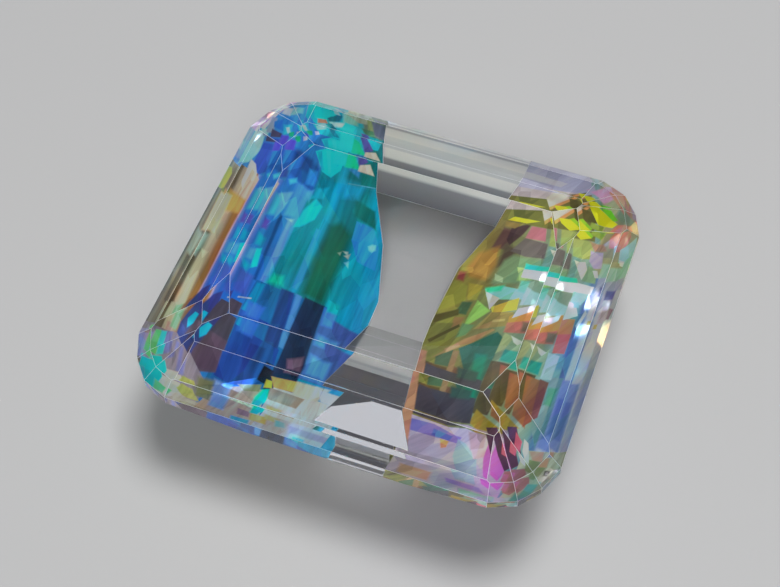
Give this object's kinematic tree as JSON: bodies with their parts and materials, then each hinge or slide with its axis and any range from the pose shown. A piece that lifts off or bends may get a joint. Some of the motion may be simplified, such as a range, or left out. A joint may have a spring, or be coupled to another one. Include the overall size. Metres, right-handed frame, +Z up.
{
  "type": "rainbow quartz gemstone",
  "caption": "Loose faceted step-cut quartz crystal with a flat table, cut corners and iridescent coated ends; it lies on its small lower facet as a display stone.",
  "frame": {"origin": "middle of the bounding box in plan, at the height of the lowest facet, which the stone rests on", "axes": "+X along the length from the blue end to the gold end, +Y across the width, +Z up towards the table"},
  "size_m": [0.028, 0.0256, 0.0119],
  "materials": {
    "quartz": "polished clear quartz with an iridescent coat on the facets of both ends, blue at -X and gold at +X"
  },
  "bodies": {
    "root": {"stone": "quartz"}
  },
  "joints": []
}
